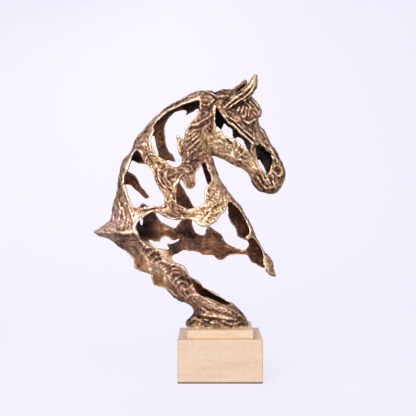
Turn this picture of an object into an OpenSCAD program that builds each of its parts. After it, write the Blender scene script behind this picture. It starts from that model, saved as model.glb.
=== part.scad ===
// Horse head and neck in openwork bronze, on a two-step travertine plinth.
// Origin: middle of the felt's underside. +X is where the horse faces, +Y its far side, +Z up.
// The bronze is hollow: near castings lie at -Y and far castings at +Y, and they are welded
// together along the mane, the breast and the edges where they meet.

/* [Plinth] */
// Side of the square stone block
block_w = 150; // [140:1:200]
// Height of the stone block
block_h = 74; // [50:1:120]
// Side of the square stone slab on the block
slab_w = 118; // [110:1:138]
// Height of the stone slab
slab_h = 15; // [12:1:20]
// Chamfer along the stone's edges
stone_chamfer = 1.2; // [0.6:0.2:2]
// Thickness of the felt pad
felt_t = 2; // [1:0.5:4]

/* [Bronze] */
// Wall of the hollow castings
wall = 5; // [4:0.5:6]
// Facets round each cross-section
sides = 28; // [20:4:36]

/* [Fixings] */
// Diameter of the threaded studs that hold the bronze down
stud_d = 10; // [8:1:12]
// Diameter of the recess for nut and washer
recess_d = 28; // [26:1:32]
// Depth of that recess
recess_h = 16; // [14:1:20]

/* [Hidden] */

gold = [0.74, 0.56, 0.34];
brown = [0.48, 0.31, 0.19];
stone = [0.93, 0.84, 0.73];
felt = [0.16, 0.14, 0.13];

slab_z = felt_t + block_h;
slab_top = slab_z + slab_h;
// Height of the foot in the lists below, which are written for the usual plinth
foot_z = 91;
// Height where the foot casting ends and the stalk starts
foot_top = 114;
// Depth of the slab that each side's castings are cut from
reach = 80;
// Facets round the fixings and their holes
turned = 48;
// Cross-sections at the tip of the muzzle that stay solid
solid_tip = 3;

stud_x = [-32, 24];
stud_play = 1;
stud_in_foot = 15;
washer_d = 24;
washer_t = 2;
nut_af = 17;
nut_h = 8;
stud_past_nut = 3;
// Underside of the studs, and of the nuts on them
nut_z = felt_t + recess_h - washer_t - nut_h;
stud_z = nut_z - stud_past_nut;
felt_inset = 0.5;

// Cross-sections: rear or upper edge x, z, front or lower edge x, z, half depth
neck_sections = [
    [-12, 521, -14, 420, 24], [-40, 519, -14, 401, 29], [-79, 500, -12, 394, 33],
    [-106, 484, -10, 384, 35], [-133, 458, -3, 368, 38], [-150, 436, 5, 355, 40],
    [-168, 404, 16, 338, 43], [-182, 380, 25, 327, 45], [-187, 345, 36, 312, 48],
    [-197, 303, 48, 296, 52], [-201, 282, 56, 278, 54], [-231, 263, 64, 258, 54],
    [-205, 251, 71, 247, 45], [-188, 238, 82, 230, 40], [-160, 214, 95, 211, 38],
    [-148, 192, 106, 182, 35], [-122, 182, 110, 172, 33]];
stalk_sections = [
    [-200, 258, -118, 268, 30], [-186, 240, -100, 254, 34], [-158, 218, -92, 240, 35],
    [-157, 197, -86, 222, 34], [-142, 194, -84, 212, 33], [-126, 186, -78, 206, 33],
    [-122, 164, -60, 199, 32], [-98, 158, -44, 178, 31], [-83, 142, -30, 167, 31],
    [-54, 126, -6, 150, 32], [-48, 114, 24, 133, 35], [-60, 100, 47, 108, 40]];
head_sections = [
    [-26, 508, -18, 430, 20], [5, 523, -14, 404, 33], [32, 519, -2, 399, 36],
    [58, 509, 20, 387, 37], [72, 494, 38, 379, 35], [75, 484, 47, 372, 32],
    [71, 467, 55, 361, 28], [80, 448, 58, 354, 25], [96, 420, 64, 345, 23],
    [108, 400, 74, 335, 22], [118, 381, 90, 331, 19], [119, 368, 104, 336, 13],
    [116, 357, 109, 345, 6]];
foot_sections = [
    [-63, 91, 52, 91, 41], [-62, 97, 51, 97, 41], [-48, 114, 43, 114, 36]];

// Ear sections: x, depth from the middle, z, radius, half thickness
ear_near_sections = [
    [9, 28, 485, 8, 7], [22, 30, 496, 9, 8], [39, 30, 507, 10, 8], [50, 28, 516, 9, 7],
    [58, 27, 524, 8, 6], [62, 25, 535, 5, 4], [64, 24, 545, 2.5, 2.5]];
ear_far_sections = [
    [4, 28, 499, 11, 8], [20, 27, 511, 10, 7], [33, 25, 521, 9, 6], [42, 24, 531, 7, 5],
    [47, 23, 540, 4, 4]];

// Openings in the near side, x and z
near_mane_opening = [
    [-38, 502], [-62, 495], [-84, 486], [-104, 472], [-121, 455], [-117, 447], [-125, 430],
    [-121, 414], [-110, 399], [-97, 391], [-90, 383], [-80, 379], [-69, 389], [-73, 408],
    [-79, 432], [-75, 436], [-65, 428], [-62, 441], [-54, 458], [-42, 470], [-37, 487]];
near_withers_opening = [
    [-152, 412], [-143, 404], [-141, 395], [-134, 385], [-122, 373], [-117, 354],
    [-108, 341], [-99, 331], [-98, 320], [-102, 312], [-120, 310], [-156, 311], [-162, 323],
    [-168, 341], [-173, 354], [-172, 366], [-165, 382], [-160, 396]];
near_throat_opening = [
    [-71, 356], [-67, 362], [-64, 350], [-60, 343], [-48, 342], [-44, 349], [-45, 364], [-39, 374],
    [-34, 384], [-25, 391], [-21, 376], [-16, 356], [-22, 347], [-27, 334], [-28, 317],
    [-43, 307], [-57, 304], [-66, 310], [-76, 315], [-78, 330], [-76, 347]];
near_belly_opening = [
    [-145, 284], [-132, 294], [-119, 300], [-96, 291], [-80, 284], [-61, 288], [-46, 284],
    [-33, 275], [-13, 278], [-4, 283], [2, 294], [10, 304], [16, 319], [26, 312], [40, 297],
    [50, 276], [55, 261], [47, 256], [49, 251], [60, 253], [70, 240], [79, 224], [78, 204],
    [84, 190], [96, 183], [106, 180], [130, 168], [120, 132], [66, 146], [24, 131], [8, 132],
    [0, 136], [-14, 143], [-33, 148], [-42, 155], [-53, 176], [-58, 190], [-66, 202],
    [-80, 206], [-95, 210], [-104, 226], [-114, 234], [-128, 239], [-140, 247], [-147, 262],
    [-149, 276]];
near_stalk_opening = [
    [-75, 152], [-83, 169], [-97, 184], [-102, 194], [-115, 204], [-126, 208], [-130, 220],
    [-143, 236], [-155, 239], [-170, 231], [-190, 215], [-184, 165], [-128, 138],
    [-102, 155], [-94, 161], [-86, 156], [-79, 149]];
near_cheek_opening = [
    [-8, 490], [-1, 481], [4, 471], [14, 459], [30, 447], [43, 436], [54, 426], [57, 416],
    [55, 411], [59, 396], [53, 404], [45, 415], [36, 419], [28, 431], [20, 430], [11, 433],
    [3, 443], [-3, 452], [-9, 462]];
near_mouth_opening = [
    [65, 421], [73, 422], [84, 411], [93, 404], [95, 393], [91, 377], [86, 366], [80, 372],
    [73, 378], [69, 392], [65, 408]];
near_cheek_hole = [[18, 409], [25, 410], [27, 405], [21, 402]];
near_openings = [
    near_mane_opening, near_withers_opening, near_throat_opening, near_belly_opening,
    near_stalk_opening, near_cheek_opening, near_mouth_opening, near_cheek_hole];

// Openings in the far side, x and z
far_mane_opening = [
    [-38, 492], [-52, 482], [-64, 475], [-62, 484], [-80, 484], [-92, 475], [-99, 460],
    [-103, 430], [-98, 416], [-89, 405], [-81, 391], [-96, 396], [-105, 388], [-96, 376],
    [-76, 373], [-60, 384], [-57, 408], [-52, 440], [-50, 462], [-42, 478]];
far_mane_slot = [[-121, 443], [-131, 432], [-127, 412], [-116, 400], [-113, 406], [-118, 420]];
far_withers_opening = [
    [-161, 397], [-151, 391], [-136, 390], [-120, 383], [-107, 366], [-99, 345], [-97, 322],
    [-106, 309], [-122, 308], [-133, 310], [-143, 316], [-151, 308], [-165, 304],
    [-174, 313], [-176, 330], [-180, 345], [-165, 350], [-142, 327], [-133, 322],
    [-131, 326], [-148, 347], [-158, 364], [-172, 376], [-172, 385], [-166, 391]];
far_throat_opening = [
    [-76, 356], [-67, 340], [-57, 324], [-45, 305], [-38, 299], [-24, 300], [-13, 318],
    [-15, 338], [-20, 350], [-27, 366], [-30, 379], [-35, 389], [-45, 383], [-55, 364],
    [-66, 366], [-73, 363]];
far_throat_sliver = [[-72, 312], [-64, 308], [-58, 304], [-65, 301]];
far_chest_opening = [
    [-123, 300], [-117, 289], [-102, 274], [-92, 269], [-85, 268], [-77, 275], [-63, 289],
    [-76, 292], [-100, 297]];
far_breast_opening = [
    [-51, 284], [-51, 270], [-46, 261], [-30, 256], [-26, 262], [-22, 271], [-7, 262],
    [3, 255], [10, 243], [18, 236], [34, 232], [44, 228], [53, 238], [47, 248], [36, 253],
    [32, 264], [20, 280], [16, 303], [13, 312], [-12, 295], [-32, 288]];
far_shoulder_hole = [[-150, 282], [-144, 288], [-143, 279], [-146, 270]];
far_stalk_gap = [
    [-144, 250], [-128, 246], [-117, 240], [-109, 240], [-111, 248], [-100, 253],
    [-90, 245], [-80, 247], [-68, 253], [-76, 244], [-90, 238], [-98, 237], [-92, 230],
    [-96, 227], [-106, 229], [-122, 234], [-132, 244]];
far_belly_opening = [
    [-88, 217], [-76, 223], [-66, 229], [-56, 225], [-38, 224], [-33, 218], [-12, 216],
    [0, 210], [10, 213], [20, 221], [36, 219], [52, 218], [58, 208], [68, 202], [82, 195],
    [88, 187], [100, 178], [118, 176], [142, 170], [122, 130], [72, 138], [24, 132],
    [6, 142], [-8, 151], [-22, 158], [-31, 161], [-34, 169], [-46, 176], [-58, 181],
    [-62, 191], [-72, 201], [-86, 206]];
far_cheek_opening = [
    [6, 459], [9, 466], [15, 459], [24, 454], [26, 438], [36, 437], [44, 435], [47, 426],
    [51, 412], [45, 400], [30, 398], [10, 407], [-6, 422], [-6, 440], [0, 450]];
far_mouth_opening = [[72, 399], [77, 389], [86, 372], [81, 367], [72, 377], [67, 391]];
far_openings = [
    far_mane_opening, far_mane_slot, far_withers_opening, far_throat_opening,
    far_throat_sliver, far_chest_opening, far_breast_opening, far_shoulder_hole,
    far_stalk_gap, far_belly_opening, far_cheek_opening, far_mouth_opening];

// Zones that the castings are divided into, along their welded seams, x and z
stalk_near_zone = [
    [-260, 243], [-90, 243], [-20, 180], [90, 140], [90, foot_top], [-260, foot_top]];
shoulder_near_zone = [[-260, 318], [-120, 318], [-120, 243], [-260, 243]];
mane_near_zone = [
    [-260, 318], [-150, 318], [-150, 396], [-141, 399], [-119, 408], [-90, 420],
    [-38, 498], [-8, 492], [-4, 540], [-260, 540]];
neck_near_zone = [
    [-120, 243], [-120, 318], [-150, 318], [-150, 396], [-141, 399], [-119, 408],
    [-90, 420], [-69, 388], [-68, 360], [-55, 330], [-60, 304], [-60, 243]];
throat_near_zone = [
    [-90, 420], [-69, 388], [-68, 360], [-55, 330], [-40, 355], [-25, 391], [-10, 400],
    [-18, 412], [-20, 425], [-8, 492], [-38, 498]];
breast_near_zone = [
    [-60, 243], [-60, 304], [-55, 330], [-17, 355], [16, 319], [20, 290], [0, 243]];
strap_near_zone = [
    [-10, 400], [-25, 391], [-40, 355], [-17, 355], [16, 319], [20, 290], [50, 243],
    [95, 243], [60, 320], [10, 382]];
strap_tip_zone = [[50, 243], [95, 243], [130, 203], [130, 164], [69, 164]];
face_zone = [
    [-4, 540], [-8, 492], [8, 450], [50, 418], [58, 394], [70, 388], [85, 395], [95, 396],
    [106, 405], [140, 420], [140, 540]];
jaw_zone = [
    [-8, 492], [8, 450], [50, 418], [58, 394], [70, 388], [72, 377], [56, 358], [45, 340],
    [10, 382], [-10, 400], [-18, 412], [-20, 425]];
muzzle_zone = [
    [70, 388], [85, 395], [95, 396], [106, 405], [140, 420], [140, 300], [60, 300],
    [45, 340], [56, 358], [72, 377]];
stalk_far_zone = [
    [-260, 243], [-100, 243], [-94, 229], [-88, 216], [-54, 198], [-140, 165], [-260, 150]];
shank_far_zone = [
    [-260, 150], [-140, 165], [-54, 198], [-20, 180], [90, 140], [90, foot_top],
    [-260, foot_top]];
shoulder_far_zone = [
    [-260, 330], [-175, 330], [-150, 318], [-120, 330], [-120, 243], [-260, 243]];
mane_far_zone = [
    [-260, 330], [-175, 330], [-150, 318], [-120, 330], [-118, 376], [-107, 367],
    [-104, 387], [-85, 388], [-42, 478], [-38, 493], [-8, 492], [-4, 540], [-260, 540]];
neck_far_zone = [
    [-120, 330], [-118, 376], [-107, 367], [-104, 387], [-85, 388], [-66, 379], [-66, 366],
    [-55, 340], [-60, 304], [-63, 289], [-110, 290], [-120, 300]];
throat_far_zone = [
    [-85, 388], [-66, 379], [-66, 366], [-55, 340], [-34, 389], [-10, 400], [-18, 412],
    [-20, 425], [-8, 492], [-38, 493], [-42, 478]];
belly_far_zone = [
    [-120, 300], [-110, 290], [-63, 289], [-60, 304], [-55, 340], [-13, 325], [14, 311],
    [20, 270], [45, 240], [48, 230], [54, 216], [0, 190], [-88, 216], [-94, 229],
    [-100, 243], [-120, 243]];
strap_far_zone = [
    [-34, 389], [-10, 400], [10, 382], [60, 320], [90, 253], [130, 200], [130, 165],
    [70, 165], [54, 216], [48, 230], [45, 240], [20, 270], [14, 311], [-13, 325],
    [-55, 340]];

// A closed smooth curve through the points p, with n steps from each point to the next
function around(p, i) = p[(i + len(p)) % len(p)];
function curve_at(a, b, c, d, t) =
    0.5 * (2 * b + (c - a) * t + (2 * a - 5 * b + 4 * c - d) * t * t
        + (3 * b - a - 3 * c + d) * t * t * t);
function smooth(p, n = 2) = [
    for (i = [0 : len(p) - 1], k = [0 : n - 1])
        curve_at(around(p, i - 1), around(p, i), around(p, i + 1), around(p, i + 2), k / n)];

// A smooth run through rows of numbers, with n steps from each row to the next
function row(p, i) = p[min(max(i, 0), len(p) - 1)];
function smooth_rows(p, n = 2) = concat(
    [for (i = [0 : len(p) - 2], k = [0 : n - 1])
        curve_at(row(p, i - 1), row(p, i), row(p, i + 1), row(p, i + 2), k / n)],
    [p[len(p) - 1]]);

// One elliptical cross-section, standing between its two edges
module section(s, inset) {
    run = [s[2] - s[0], s[3] - s[1]];
    translate([(s[0] + s[2]) / 2, 0, (s[1] + s[3]) / 2])
        rotate([0, -atan2(run[1], run[0]), 0])
            linear_extrude(0.1)
                scale([norm(run) / 2 - inset, s[4] - inset])
                    circle(1, $fn = sides);
}

module loft(sections, inset = 0, skip = 0) {
    for (i = [0 : len(sections) - 2 - skip])
        hull() {
            section(sections[i], inset);
            section(sections[i + 1], inset);
        }
}

// The whole horse as a solid, inset from its outer face
module horse(inset) {
    loft(smooth_rows(neck_sections), inset);
    loft(smooth_rows(stalk_sections), inset);
    loft(smooth_rows(head_sections), inset, inset > 0 ? solid_tip : 0);
}

// A flat outline in x and z, as a slab from the middle plane out to one side
module to_side(side) {
    translate([0, side > 0 ? reach : 0, 0])
        rotate([90, 0, 0])
            linear_extrude(reach)
                children();
}

// One welded section of the hollow casting, at its side, inside its zone
module casting(side, zone) {
    openings = side > 0 ? far_openings : near_openings;
    translate([0, 0, slab_top - foot_z])
        intersection() {
            difference() {
                horse(0);
                horse(wall);
            }
            to_side(side)
                difference() {
                    polygon(zone);
                    for (opening = openings) polygon(smooth(opening));
                }
        }
}

module ear(sections, side) {
    translate([0, 0, slab_top - foot_z])
        difference() {
            for (i = [0 : len(sections) - 2])
                hull()
                    for (s = [sections[i], sections[i + 1]])
                        translate([s[0], side * s[1], s[2]])
                            scale([s[3], s[4], s[3]])
                                sphere(1, $fn = 16);
            // the hollow of the ear, open forwards and towards the other ear
            for (i = [2 : len(sections) - 3])
                hull()
                    for (s = [sections[i], sections[i + 1]])
                        translate([s[0] + 3, side * (s[1] - s[4] * 0.8), s[2] - 1])
                            scale([s[3] * 0.6, s[4] * 0.9, s[3] * 0.6])
                                sphere(1, $fn = 12);
            loft(smooth_rows(head_sections));
        }
}

// A square stone or felt piece with chamfered edges
module chamfered_square(w, h, c) {
    hull() {
        translate([-w / 2 + c, -w / 2 + c, 0]) cube([w - 2 * c, w - 2 * c, h]);
        translate([-w / 2 + c, -w / 2, c]) cube([w - 2 * c, w, h - 2 * c]);
        translate([-w / 2, -w / 2 + c, c]) cube([w, w - 2 * c, h - 2 * c]);
    }
}

module at_studs() {
    for (x = stud_x) translate([x, 0, 0]) children();
}

module felt_pad() {
    color(felt)
        translate([-block_w / 2 + felt_inset, -block_w / 2 + felt_inset, 0])
            cube([block_w - 2 * felt_inset, block_w - 2 * felt_inset, felt_t]);
}

module plinth_block() {
    color(stone)
        difference() {
            translate([0, 0, felt_t]) chamfered_square(block_w, block_h, stone_chamfer);
            at_studs() {
                translate([0, 0, felt_t]) cylinder(d = stud_d + stud_play, h = block_h + 1, $fn = turned);
                translate([0, 0, felt_t - 1]) cylinder(d = recess_d, h = recess_h + 1, $fn = turned);
            }
        }
}

module plinth_slab() {
    color(stone)
        difference() {
            translate([0, 0, slab_z]) chamfered_square(slab_w, slab_h, stone_chamfer);
            at_studs()
                translate([0, 0, slab_z - 1])
                    cylinder(d = stud_d + stud_play, h = slab_h + 2, $fn = turned);
        }
}

module foot_casting() {
    color(gold)
        difference() {
            translate([0, 0, slab_top - foot_z]) loft(foot_sections);
            at_studs()
                translate([0, 0, slab_top - 1])
                    cylinder(d = stud_d, h = stud_in_foot + 1, $fn = turned);
            // the stone's face trims the foot flat
            translate([-reach, -reach, slab_top - 2]) cube([2 * reach, 2 * reach, 2]);
        }
}

module mounting_studs() {
    color("silver")
        at_studs()
            translate([0, 0, stud_z])
                cylinder(d = stud_d, h = slab_top + stud_in_foot - stud_z, $fn = turned);
}

module stud_washers() {
    color("silver")
        at_studs()
            translate([0, 0, felt_t + recess_h - washer_t])
                difference() {
                    cylinder(d = washer_d, h = washer_t, $fn = turned);
                    translate([0, 0, -1]) cylinder(d = stud_d, h = washer_t + 2, $fn = turned);
                }
}

module stud_nuts() {
    color("silver")
        at_studs()
            translate([0, 0, nut_z])
                difference() {
                    cylinder(d = nut_af / cos(30), h = nut_h, $fn = 6);
                    translate([0, 0, -1]) cylinder(d = stud_d, h = nut_h + 2, $fn = turned);
                }
}

module stalk_near() { color(gold) casting(-1, stalk_near_zone); }
module stalk_far() { color(brown) casting(1, stalk_far_zone); }
module shank_far() { color(brown) casting(1, shank_far_zone); }
module shoulder_near() { color(gold) casting(-1, shoulder_near_zone); }
module shoulder_far() { color(brown) casting(1, shoulder_far_zone); }
module mane_near() { color(gold) casting(-1, mane_near_zone); }
module mane_far() { color(brown) casting(1, mane_far_zone); }
module neck_near() { color(gold) casting(-1, neck_near_zone); }
module neck_far() { color(brown) casting(1, neck_far_zone); }
module throat_near() { color(gold) casting(-1, throat_near_zone); }
module throat_far() { color(brown) casting(1, throat_far_zone); }
module breast_near() { color(gold) casting(-1, breast_near_zone); }
module belly_far() { color(brown) casting(1, belly_far_zone); }
module strap_near() { color(gold) casting(-1, strap_near_zone); }
module strap_tip() { color(gold) casting(-1, strap_tip_zone); }
module strap_far() { color(brown) casting(1, strap_far_zone); }
module face_near() { color(gold) casting(-1, face_zone); }
module face_far() { color(brown) casting(1, face_zone); }
module jaw_near() { color(gold) casting(-1, jaw_zone); }
module jaw_far() { color(brown) casting(1, jaw_zone); }
module muzzle() {
    color(gold) {
        casting(-1, muzzle_zone);
        casting(1, muzzle_zone);
    }
}
module ear_near() { color(gold) ear(ear_near_sections, -1); }
module ear_far() { color(brown) ear(ear_far_sections, 1); }

felt_pad();
plinth_block();
plinth_slab();
foot_casting();
mounting_studs();
stud_washers();
stud_nuts();
stalk_near();
stalk_far();
shank_far();
shoulder_near();
shoulder_far();
mane_near();
mane_far();
neck_near();
neck_far();
throat_near();
throat_far();
breast_near();
belly_far();
strap_near();
strap_tip();
strap_far();
face_near();
face_far();
jaw_near();
jaw_far();
muzzle();
ear_near();
ear_far();
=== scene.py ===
"""Looks of the openwork bronze horse on its stone plinth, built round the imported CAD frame.

The bronze castings become one field of distances, which is welded, smoothed and given the relief of
hand-worked wax. It is then cut again along the castings' seams and meshed, one closed piece each.
"""

import math
from collections import namedtuple

import bpy
import numpy as np
import openvdb as vdb
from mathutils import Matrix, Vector


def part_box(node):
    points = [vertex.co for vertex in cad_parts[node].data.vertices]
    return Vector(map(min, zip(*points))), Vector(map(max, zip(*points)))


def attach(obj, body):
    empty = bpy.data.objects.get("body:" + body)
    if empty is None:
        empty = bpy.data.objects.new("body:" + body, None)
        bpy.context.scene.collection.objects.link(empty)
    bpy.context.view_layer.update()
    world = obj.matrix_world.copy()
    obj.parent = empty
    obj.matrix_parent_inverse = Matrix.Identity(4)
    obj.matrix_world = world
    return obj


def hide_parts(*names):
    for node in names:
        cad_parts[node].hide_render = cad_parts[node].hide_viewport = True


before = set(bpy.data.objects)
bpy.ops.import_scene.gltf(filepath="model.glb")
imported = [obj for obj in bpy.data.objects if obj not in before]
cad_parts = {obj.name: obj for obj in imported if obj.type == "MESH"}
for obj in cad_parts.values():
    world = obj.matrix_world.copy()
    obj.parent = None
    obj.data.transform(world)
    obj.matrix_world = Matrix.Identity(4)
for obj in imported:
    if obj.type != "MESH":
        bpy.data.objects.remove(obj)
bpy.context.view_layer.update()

MM = 0.001
STONE_NODES = ["plinth_block", "plinth_slab"]
FELT_NODES = ["felt_pad"]
STEEL_NODES = ["mounting_studs", "stud_washers", "stud_nuts"]
BRONZE_NODES = sorted(set(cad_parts) - set(STONE_NODES + FELT_NODES + STEEL_NODES))

# ---------------------------------------------------------------- numbers for the bronze, in mm
VOXEL = 1.0
BAND = 6                 # voxels of distance kept on each side of a surface
MARGIN = 9.0             # room round the bronze in the field
CLOSING = 0.9            # gaps between castings narrower than twice this are welded shut
SMOOTHING = 1.3          # spread of the blur that melts facets and rounds edges
THICKEN = 0.25           # what the blur takes off a thin wall, put back
FLOW_BLUR = 7.0          # how far the strokes take their direction from the edges around them
RELIEF_LIMIT = 2.8       # highest and deepest that the relief goes
NEAR_GAIN = 0.72         # how strong the strokes on the near side of neck and stalk are
FINE_SCALE, FINE_BIAS, FINE_GAIN = 1.7, 0.2, 0.5      # how ridges and creases are found
WIDE_SCALE, WIDE_BIAS, WIDE_GAIN = 3.2, 0.8, 0.5
SPECK, SPECK_ROUNDS = 400, 14      # smallest crumb of surface that is kept, in points
SEAM_STEPS = 3           # rounds of moving a point on to its seam and on to the skin
SEAM_REACH = 1.2         # voxels; a point that would have to move further is left alone
ON_SKIN = 0.45           # voxels from the skin within which a point takes the skin's normal
LOOK_BLUR = 5.0          # mm over which one casting's look fades into the next
BRUSH_STEP = 1.5         # length of one step along the flow when strokes are drawn out
SKIN_DEPTH = 4.4         # how far from the surface the relief is pressed in
SIDE_BLEND = 9.0         # distance from the middle plane over which near and far maps fade
OUTLINE_BLUR = 9.0       # blur that finds which way the outline looks
OUTLINE_GAIN = 1.6       # how strongly that way counts where it is clearest
FAR_OFF = 300.0          # y at which the noise for one side's map is read, beyond the bronze

# How each casting looks: tone of its hollow side (patina, with painted shade where the inside lies in
# shadow), of its skin, and how mauve the skin is (partly the patina's tint, partly a painted reflection of
# the lavender room), 0 to 1
LOOKS = {
    "belly_far": (0.38, 0.45, 0.2), "breast_near": (0.4, 0.66, 0.05), "ear_far": (0.3, 0.5, 0.2),
    "ear_near": (0.3, 0.5, 0.05), "face_far": (0.0, 0.5, 0.2), "face_near": (0.0, 0.41, 0.1),
    "foot_casting": (0.2, 0.72, 0.0), "jaw_far": (0.08, 0.5, 0.2), "jaw_near": (0.0, 0.70, 0.05),
    "mane_far": (0.5, 0.5, 0.2), "mane_near": (0.45, 0.54, 0.3), "muzzle": (0.08, 0.37, 0.1),
    "neck_far": (0.45, 0.5, 0.2), "neck_near": (0.4, 0.42, 0.08), "shank_far": (0.82, 0.5, 0.1),
    "shoulder_far": (0.2, 0.5, 0.3), "shoulder_near": (0.3, 0.69, 0.65), "stalk_far": (0.88, 0.5, 0.2),
    "stalk_near": (0.8, 0.43, 0.3), "strap_far": (0.25, 0.5, 0.4), "strap_near": (0.4, 0.5, 0.3),
    "strap_tip": (0.4, 0.5, 0.2), "throat_far": (0.3, 0.5, 0.2), "throat_near": (0.3, 0.35, 0.05)}
PLAIN_LOOK = (0.3, 0.5, 0.2)
# Changes to those looks, among them painted shade and painted light: side, middle x, z, radius, and what is
# added to hollow, skin and mauve
TONE_AND_PAINTED_LIGHT_PATCHES = [
    # painted shade: darker, less mauve skin on the shoulder's downward-facing under-facet
    (-1, (-178, 250), 22, (0.0, -0.36, -0.1)), (-1, (-140, 250), 20, (0.0, -0.2, -0.1)),
    # painted shade in the deep inside corner of the far skin at (-158, 392) and right of the stalk ribbon at
    # (-84, 226); painted light on the belly sheet where it lies in shadow at (-112, 264)
    (1, (-158, 392), 16, (-0.5, 0.0, 0.0)), (1, (-14, 140), 40, (-0.55, 0.0, 0.0)),
    (1, (-84, 226), 16, (-0.35, 0.0, 0.0)), (1, (-60, 487), 22, (-0.3, 0.0, 0.0)),
    (1, (-140, 276), 11, (-0.2, 0.0, 0.0)), (1, (-112, 264), 20, (0.3, 0.0, 0.0)),
    (-1, (-30, 385), 16, (0.0, 0.0, 0.5)),
    (-1, (-14, 455), 14, (0.0, -0.08, 0.4)), (-1, (-30, 425), 20, (0.0, 0.08, -0.2)),
    (-1, (-30, 512), 20, (0.0, -0.2, -0.2)), (-1, (-78, 500), 14, (0.0, -0.15, 0.0)),
    (-1, (-52, 95), 12, (0.0, -0.3, 0.0)), (-1, (-28, 94), 12, (0.0, -0.3, 0.0)),
    (-1, (-4, 94), 12, (0.0, -0.3, 0.0)), (-1, (20, 94), 12, (0.0, -0.3, 0.0)),
    (-1, (44, 95), 12, (0.0, -0.3, 0.0)), (-1, (30, 352), 16, (0.0, -0.1, 0.0)),
    (-1, (8, 125), 26, (0.0, 0.12, 0.0))]

# Layers of the worked wax, in mm. A shift says which part of the noise is read.
DRAWN = [(1.05, 22.0, 22, 0.3), (0.4, 10.0, 12, 5.7), (0.2, 4.6, 8, 11.1)]   # gain, size, length, shift
# Gain, size, length, shift and width of folds and of creases, and size and shift of their patches
FOLDS, CREASES = (1.3, 24.0, 36, 21.7, 0.22, 30.0, 31.1), (1.0, 20.0, 30, 41.3, 0.13, 28.0, 51.9)
LUMPS = [(1.3, 18.0, 61.3, 1.6), (0.5, 7.5, 71.9, 1.4)]                      # gain, size, shift, top
GRIT = [(0.4, 12.0, 87.7), (0.3, 4.6, 81.1)]                                 # gain, size, shift
PEBBLE_FLOOR = 1.4       # how far the gaps between pebbles lie below them
STREAKS = (3.2, 8, 91.7)                                                     # size, length, shift
GRAIN = (0.3, 4.2, 3.3)  # gain, size and shift of the grain all over the skin
SWELLS, BENDS = (0.7, 26.0, 95.3), (1.1, 12.0, 17.3)   # the same of the folds on the hollow side

# Where the wax was pinched into pebbles: middle x, z, radius and strength
PEBBLED = [
    ((-4, 322), 26, 1.0), ((-22, 300), 20, 1.0), ((18, 425), 26, 0.9), ((-4, 412), 18, 0.7),
    ((0, 115), 42, 0.5), ((-30, 128), 26, 0.4), ((-180, 290), 26, 0.6), ((-70, 330), 10, 0.5),
    ((-60, 380), 12, 0.7)]
# Where the wax was left calmer: middle x, z, radius and how much of the relief is gone
CALM = [
    ((-178, 250), 24, 0.6), ((-140, 240), 20, 0.5), ((-112, 208), 34, 0.4), ((-70, 172), 34, 0.4),
    ((0, 115), 45, 0.35), ((-48, 440), 38, 0.35), ((-30, 480), 28, 0.3), ((-80, 345), 34, 0.35)]

# Strokes of the modelling tool on the head, the same on both sides: points (x, z) in mm,
# height in mm (negative for a groove) and half width in mm
HEAD_STROKES = [
    ([(8, 487), (22, 499), (38, 511), (50, 521), (58, 532), (63, 545)], 1.8, 1.6),
    ([(14, 483), (28, 494), (44, 504), (56, 516), (63, 529)], 1.8, 1.6),
    ([(12, 487), (26, 497), (42, 508), (54, 519), (61, 533)], -1.8, 1.2),
    ([(30, 490), (44, 498), (54, 506)], 1.6, 1.4),
    ([(35, 489), (33, 484), (30, 480)], 2.2, 2.2),
    ([(42, 490), (40, 483), (37, 475)], 2.4, 2.2),
    ([(48, 489), (47, 480), (45, 470)], 2.4, 2.2),
    ([(54, 487), (52, 478), (51, 468)], 2.0, 2.0),
    ([(43, 462), (52, 460), (60, 464), (68, 467)], 3.0, 2.6),
    ([(36, 477), (39, 467), (45, 456), (56, 452)], -2.0, 3.0),
    ([(45, 498), (55, 487), (64, 475)], 1.6, 1.6),
    ([(50, 503), (61, 492), (69, 479)], 1.6, 1.6),
    ([(56, 505), (66, 496), (72, 486), (71, 474)], 2.4, 2.2),
    ([(12, 472), (27, 461), (39, 449), (52, 438), (62, 430)], 2.4, 2.0),
    ([(7, 471), (15, 460), (27, 452), (36, 441), (46, 434), (57, 424), (64, 421)], 2.4, 2.0),
    ([(16, 467), (28, 456), (42, 444), (56, 431)], -2.6, 1.6),
    ([(61, 438), (64, 425), (76, 415), (89, 404), (97, 396)], 2.2, 2.0),
    ([(70, 458), (80, 440), (90, 421), (100, 401), (110, 386)], 2.0, 2.2),
    ([(63, 449), (68, 430), (77, 418), (90, 408)], -2.2, 1.8),
    ([(48, 449), (55, 447), (60, 440), (55, 436), (48, 441)], 1.4, 2.4),
    ([(98, 381), (104, 384), (111, 380), (113, 371), (107, 364), (100, 368)], 2.2, 2.4),
    ([(103, 375), (106, 372)], -4.0, 2.6),
    ([(75, 367), (81, 357), (90, 343)], 2.4, 1.8),
    ([(84, 364), (92, 348)], 2.2, 1.8),
    ([(67, 364), (77, 350), (84, 340)], 2.2, 1.8),
    ([(95, 364), (97, 350), (100, 342)], 2.0, 1.8),
    ([(61, 357), (67, 347), (77, 338)], 1.8, 1.8),
    ([(80, 362), (87, 345)], -1.8, 1.2),
    ([(89, 363), (95, 347)], -1.8, 1.2),
    ([(71, 364), (80, 345)], -1.8, 1.2),
    ([(1, 404), (15, 402), (27, 396), (39, 391), (52, 380), (62, 371)], 1.8, 2.8),
    ([(29, 408), (35, 420), (45, 416), (43, 406), (31, 397)], 2.2, 2.0),
    ([(37, 413), (38, 405)], -1.8, 1.6),
    ([(22, 429), (26, 416)], 1.8, 2.0),
    ([(2, 449), (8, 439), (17, 430), (22, 424)], 1.8, 1.8),
]
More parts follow.
